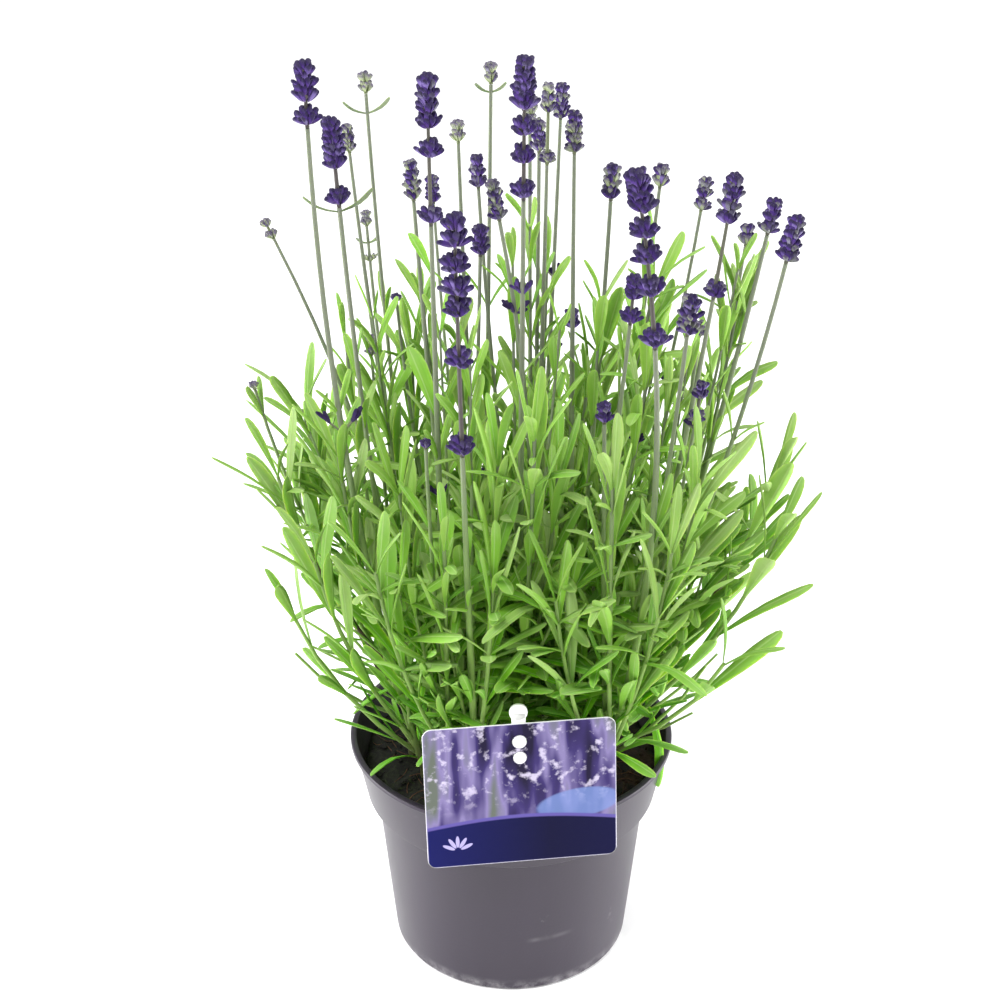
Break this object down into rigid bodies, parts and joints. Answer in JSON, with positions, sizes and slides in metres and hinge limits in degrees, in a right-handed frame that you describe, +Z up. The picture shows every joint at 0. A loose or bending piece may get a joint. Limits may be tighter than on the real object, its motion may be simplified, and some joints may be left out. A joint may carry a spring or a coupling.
{
  "type": "potted lavender",
  "caption": "Lavender plant with violet flower spikes above narrow green leaves, in a tapered plastic nursery pot of soil, with a picture card on a peg at the rim.",
  "frame": {"origin": "centre of the pot's flat base, on the surface that it stands on", "axes": "+Z up along the pot's axis, -Y towards the name card and the viewer, +X to the viewer's right"},
  "size_m": [0.2428, 0.2285, 0.431],
  "materials": {
    "pot": "satin grey-taupe moulded plastic, slightly dusty",
    "soil": "moist dark peat with fibres, rough",
    "card": "glossy printed plastic card with a white edge",
    "peg": "white moulded plastic",
    "leaf": "soft yellow-green leaf with a pale midrib, finely hairy, satin",
    "violet": "downy deep violet calyx and petal, matt",
    "bud": "downy grey-green unopened buds tinged lilac, matt"
  },
  "bodies": {
    "root": {"pot": "pot", "soil": "soil", "name_card": "card", "label_peg": "peg", "leafy_stem_01": "leaf", "leafy_stem_02": "leaf", "leafy_stem_03": "leaf", "leafy_stem_04": "leaf", "leafy_stem_05": "leaf", "leafy_stem_06": "leaf", "leafy_stem_07": "leaf", "leafy_stem_08": "leaf", "leafy_stem_09": "leaf", "leafy_stem_10": "leaf", "leafy_stem_11": "leaf", "leafy_stem_12": "leaf", "leafy_stem_13": "leaf", "leafy_stem_14": "leaf", "leafy_stem_15": "leaf", "flower_head_01": "violet", "flower_head_02": "violet", "flower_head_03": "bud", "flower_head_04": "bud", "flower_head_05": "bud", "flower_head_06": "bud", "flower_head_07": "bud", "flower_head_08": "bud", "flower_head_09": "violet", "flower_head_10": "violet", "flower_head_11": "violet", "flower_head_12": "violet", "flower_head_13": "violet", "flower_head_14": "violet", "flower_head_15": "bud", "flower_head_16": "violet", "flower_head_17": "bud", "flower_head_18": "violet", "flower_head_19": "violet", "flower_head_20": "bud", "flower_head_21": "violet", "flower_head_22": "violet", "flower_head_23": "violet", "flower_head_24": "bud", "flower_head_25": "violet", "flower_head_26": "violet", "flower_head_27": "violet", "flower_head_28": "violet", "flower_head_29": "violet", "flower_head_30": "violet", "flower_head_31": "violet", "flower_head_32": "violet", "flower_head_33": "violet", "flower_head_34": "violet", "flower_head_35": "violet", "flower_head_36": "violet", "flower_head_37": "violet", "flower_head_38": "violet", "flower_head_39": "violet", "flower_head_40": "violet"}
  },
  "joints": []
}
